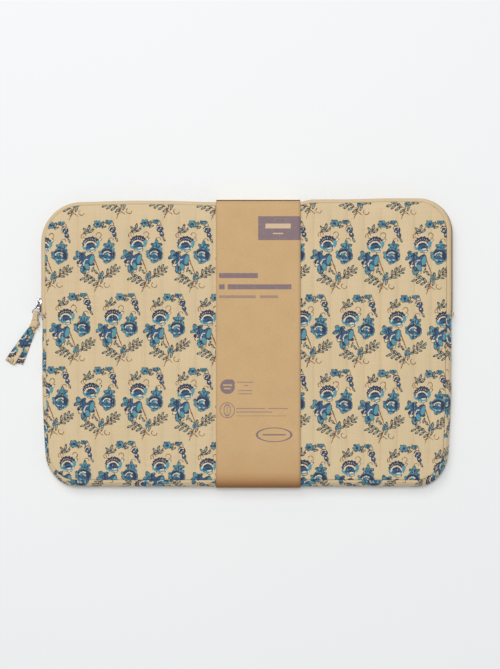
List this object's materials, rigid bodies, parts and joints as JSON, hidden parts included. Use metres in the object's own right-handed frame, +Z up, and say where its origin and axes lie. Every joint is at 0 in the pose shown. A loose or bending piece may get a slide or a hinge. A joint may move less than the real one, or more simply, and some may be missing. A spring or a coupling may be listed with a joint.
{
  "type": "laptop sleeve",
  "caption": "Quilted cotton laptop sleeve with a zip round its upper half, a knotted cloth zip pull and a card belly band.",
  "frame": {"origin": "on the surface that the sleeve lies on, under the centre of its outline, on the underside of the band's back leaf", "axes": "+Z up through the sleeve's thickness from back to front, +X along its width, +Y towards its zipped top edge"},
  "size_m": [0.392, 0.253, 0.0194],
  "materials": {
    "printed_cloth": "beige quilted cotton printed with blue and teal flower bouquets",
    "plain_cloth": "plain beige cotton twill",
    "lining_cloth": "plain pale beige lining",
    "wadding": "soft white polyester wadding",
    "label_cloth": "blank white satin label",
    "zip_coil": "tan nylon coil",
    "zip_metal": "polished nickel plating",
    "kraft_card": "uncoated brown kraft card"
  },
  "bodies": {
    "sleeve": {"back_panel_outer": "printed_cloth", "back_panel_wadding": "wadding", "back_panel_lining": "lining_cloth", "front_lower_outer": "printed_cloth", "front_lower_wadding": "wadding", "front_lower_lining": "lining_cloth", "gusset_strip": "printed_cloth", "gusset_strip_lining": "lining_cloth", "zip_tape_rear": "plain_cloth", "zip_row_rear": "zip_coil", "zip_tape_end_left": "plain_cloth", "zip_row_end_left": "zip_coil", "zip_tape_end_right": "plain_cloth", "zip_row_end_right": "zip_coil", "zip_top_stop_front": "zip_metal", "zip_top_stop_rear": "zip_metal", "zip_bottom_stop": "zip_metal", "binding_back": "plain_cloth", "binding_front_lower": "plain_cloth", "care_label": "label_cloth"},
    "flap": {"front_flap_outer": "printed_cloth", "front_flap_wadding": "wadding", "front_flap_lining": "lining_cloth", "zip_tape_front": "plain_cloth", "zip_row_front": "zip_coil", "binding_flap": "plain_cloth"},
    "slider": {"slider_body": "zip_metal", "slider_bail": "zip_metal"},
    "ring": {"pull_ring": "zip_metal"},
    "pull": {"pull_strip_loop": "printed_cloth", "pull_knot": "printed_cloth", "pull_tail_over": "printed_cloth", "pull_tail_under": "printed_cloth"},
    "band_back": {"band_back_leaf": "kraft_card", "band_glue_tab": "kraft_card"},
    "band_wall": {"band_bottom_wall": "kraft_card"},
    "band_front": {"band_front_leaf": "kraft_card", "band_top_wall": "kraft_card"}
  },
  "joints": [
    {"name": "flap_open", "type": "hinge", "parent": "sleeve", "child": "flap", "pos_m": [0, 0.042, 0.0187], "axis": [1, 0, 0], "range_deg": [0, 120]},
    {"name": "slider_run", "type": "slide", "parent": "sleeve", "child": "slider", "axis": [0, 1, 0], "range_m": [0, 0.046]},
    {"name": "ring_swing", "type": "hinge", "parent": "slider", "child": "ring", "pos_m": [-0.18255, 0.0364, 0.0097], "axis": [0, 0, 1], "range_deg": [-130, 4]},
    {"name": "pull_swing", "type": "hinge", "parent": "ring", "child": "pull", "pos_m": [-0.1853, 0.0266, 0.0059], "axis": [-0.9628, 0.2702, 0], "range_deg": [0, 90]},
    {"name": "band_slide", "type": "slide", "parent": "sleeve", "child": "band_back", "axis": [1, 0, 0], "range_m": [0, 0.25]},
    {"name": "band_bottom_fold", "type": "hinge", "parent": "band_back", "child": "band_wall", "pos_m": [0, -0.1258, 0.0002], "axis": [1, 0, 0], "range_deg": [0, 90]},
    {"name": "band_front_fold", "type": "hinge", "parent": "band_wall", "child": "band_front", "pos_m": [0, -0.1258, 0.0192], "axis": [1, 0, 0], "range_deg": [0, 90]}
  ],
  "couplings": [
    {"joint": "band_bottom_fold", "follows": "flap_open", "ratio": 0.75},
    {"joint": "band_front_fold", "follows": "flap_open", "ratio": 0.75}
  ]
}
